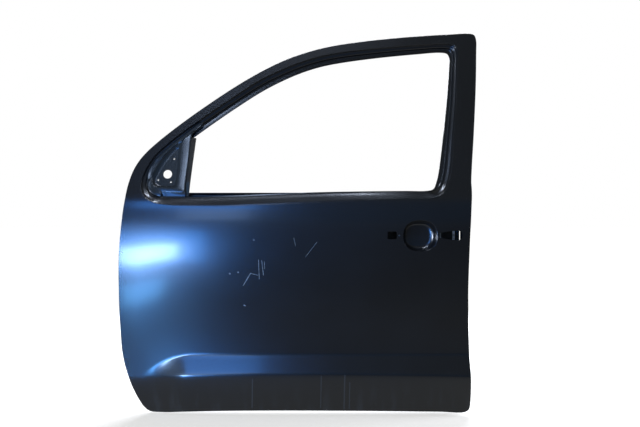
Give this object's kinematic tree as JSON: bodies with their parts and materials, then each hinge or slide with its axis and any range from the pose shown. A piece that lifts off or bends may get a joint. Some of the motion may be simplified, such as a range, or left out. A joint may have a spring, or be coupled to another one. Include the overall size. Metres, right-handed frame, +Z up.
{
  "type": "vehicle door shell",
  "caption": "Bare left front door shell of a pickup in dark primer, with window frame, hinge and latch walls, finger cup and mirror bracket.",
  "frame": {"origin": "centre of the upper hinge face on the door's front wall, between its two bolt holes", "axes": "+X from the hinge edge back to the latch edge, +Y from the outside of the vehicle inward, +Z up"},
  "size_m": [1.1385, 0.207, 1.2125],
  "materials": {
    "outer_panel": "glossy dark electrocoat primer",
    "inner_panel": "satin dark electrocoat primer",
    "mirror_bracket": "glossy dark electrocoat primer",
    "handle_reinforcement": "satin dark electrocoat primer",
    "front_sash_channel": "satin dark electrocoat primer",
    "rear_sash_channel": "satin dark electrocoat primer",
    "belt_outer_reinforcement": "satin dark electrocoat primer",
    "belt_inner_reinforcement": "satin dark electrocoat primer",
    "impact_beam": "satin dark electrocoat primer",
    "beam_front_bracket": "satin dark electrocoat primer",
    "beam_rear_bracket": "satin dark electrocoat primer",
    "upper_hinge_reinforcement": "satin dark electrocoat primer",
    "lower_hinge_reinforcement": "satin dark electrocoat primer",
    "upper_hinge_nut_plate": "satin dark electrocoat primer",
    "lower_hinge_nut_plate": "satin dark electrocoat primer",
    "check_link_reinforcement": "satin dark electrocoat primer",
    "latch_reinforcement": "satin dark electrocoat primer",
    "rear_frame_reinforcement": "satin dark electrocoat primer",
    "pull_handle_bracket": "satin dark electrocoat primer",
    "front_sash_bracket": "satin dark electrocoat primer",
    "rear_sash_bracket": "satin dark electrocoat primer",
    "mirror_weld_nut_1": "satin dark electrocoat primer",
    "mirror_weld_nut_2": "satin dark electrocoat primer",
    "mirror_weld_nut_3": "satin dark electrocoat primer",
    "mastic_pad_1": "matt anti-flutter mastic",
    "mastic_pad_2": "matt anti-flutter mastic",
    "mastic_pad_3": "matt anti-flutter mastic"
  },
  "bodies": {
    "root": {"outer_panel": "outer_panel", "inner_panel": "inner_panel", "mirror_bracket": "mirror_bracket", "handle_reinforcement": "handle_reinforcement", "front_sash_channel": "front_sash_channel", "rear_sash_channel": "rear_sash_channel", "belt_outer_reinforcement": "belt_outer_reinforcement", "belt_inner_reinforcement": "belt_inner_reinforcement", "impact_beam": "impact_beam", "beam_front_bracket": "beam_front_bracket", "beam_rear_bracket": "beam_rear_bracket", "upper_hinge_reinforcement": "upper_hinge_reinforcement", "lower_hinge_reinforcement": "lower_hinge_reinforcement", "upper_hinge_nut_plate": "upper_hinge_nut_plate", "lower_hinge_nut_plate": "lower_hinge_nut_plate", "check_link_reinforcement": "check_link_reinforcement", "latch_reinforcement": "latch_reinforcement", "rear_frame_reinforcement": "rear_frame_reinforcement", "pull_handle_bracket": "pull_handle_bracket", "front_sash_bracket": "front_sash_bracket", "rear_sash_bracket": "rear_sash_bracket", "mirror_weld_nut_1": "mirror_weld_nut_1", "mirror_weld_nut_2": "mirror_weld_nut_2", "mirror_weld_nut_3": "mirror_weld_nut_3", "mastic_pad_1": "mastic_pad_1", "mastic_pad_2": "mastic_pad_2", "mastic_pad_3": "mastic_pad_3"}
  },
  "joints": []
}
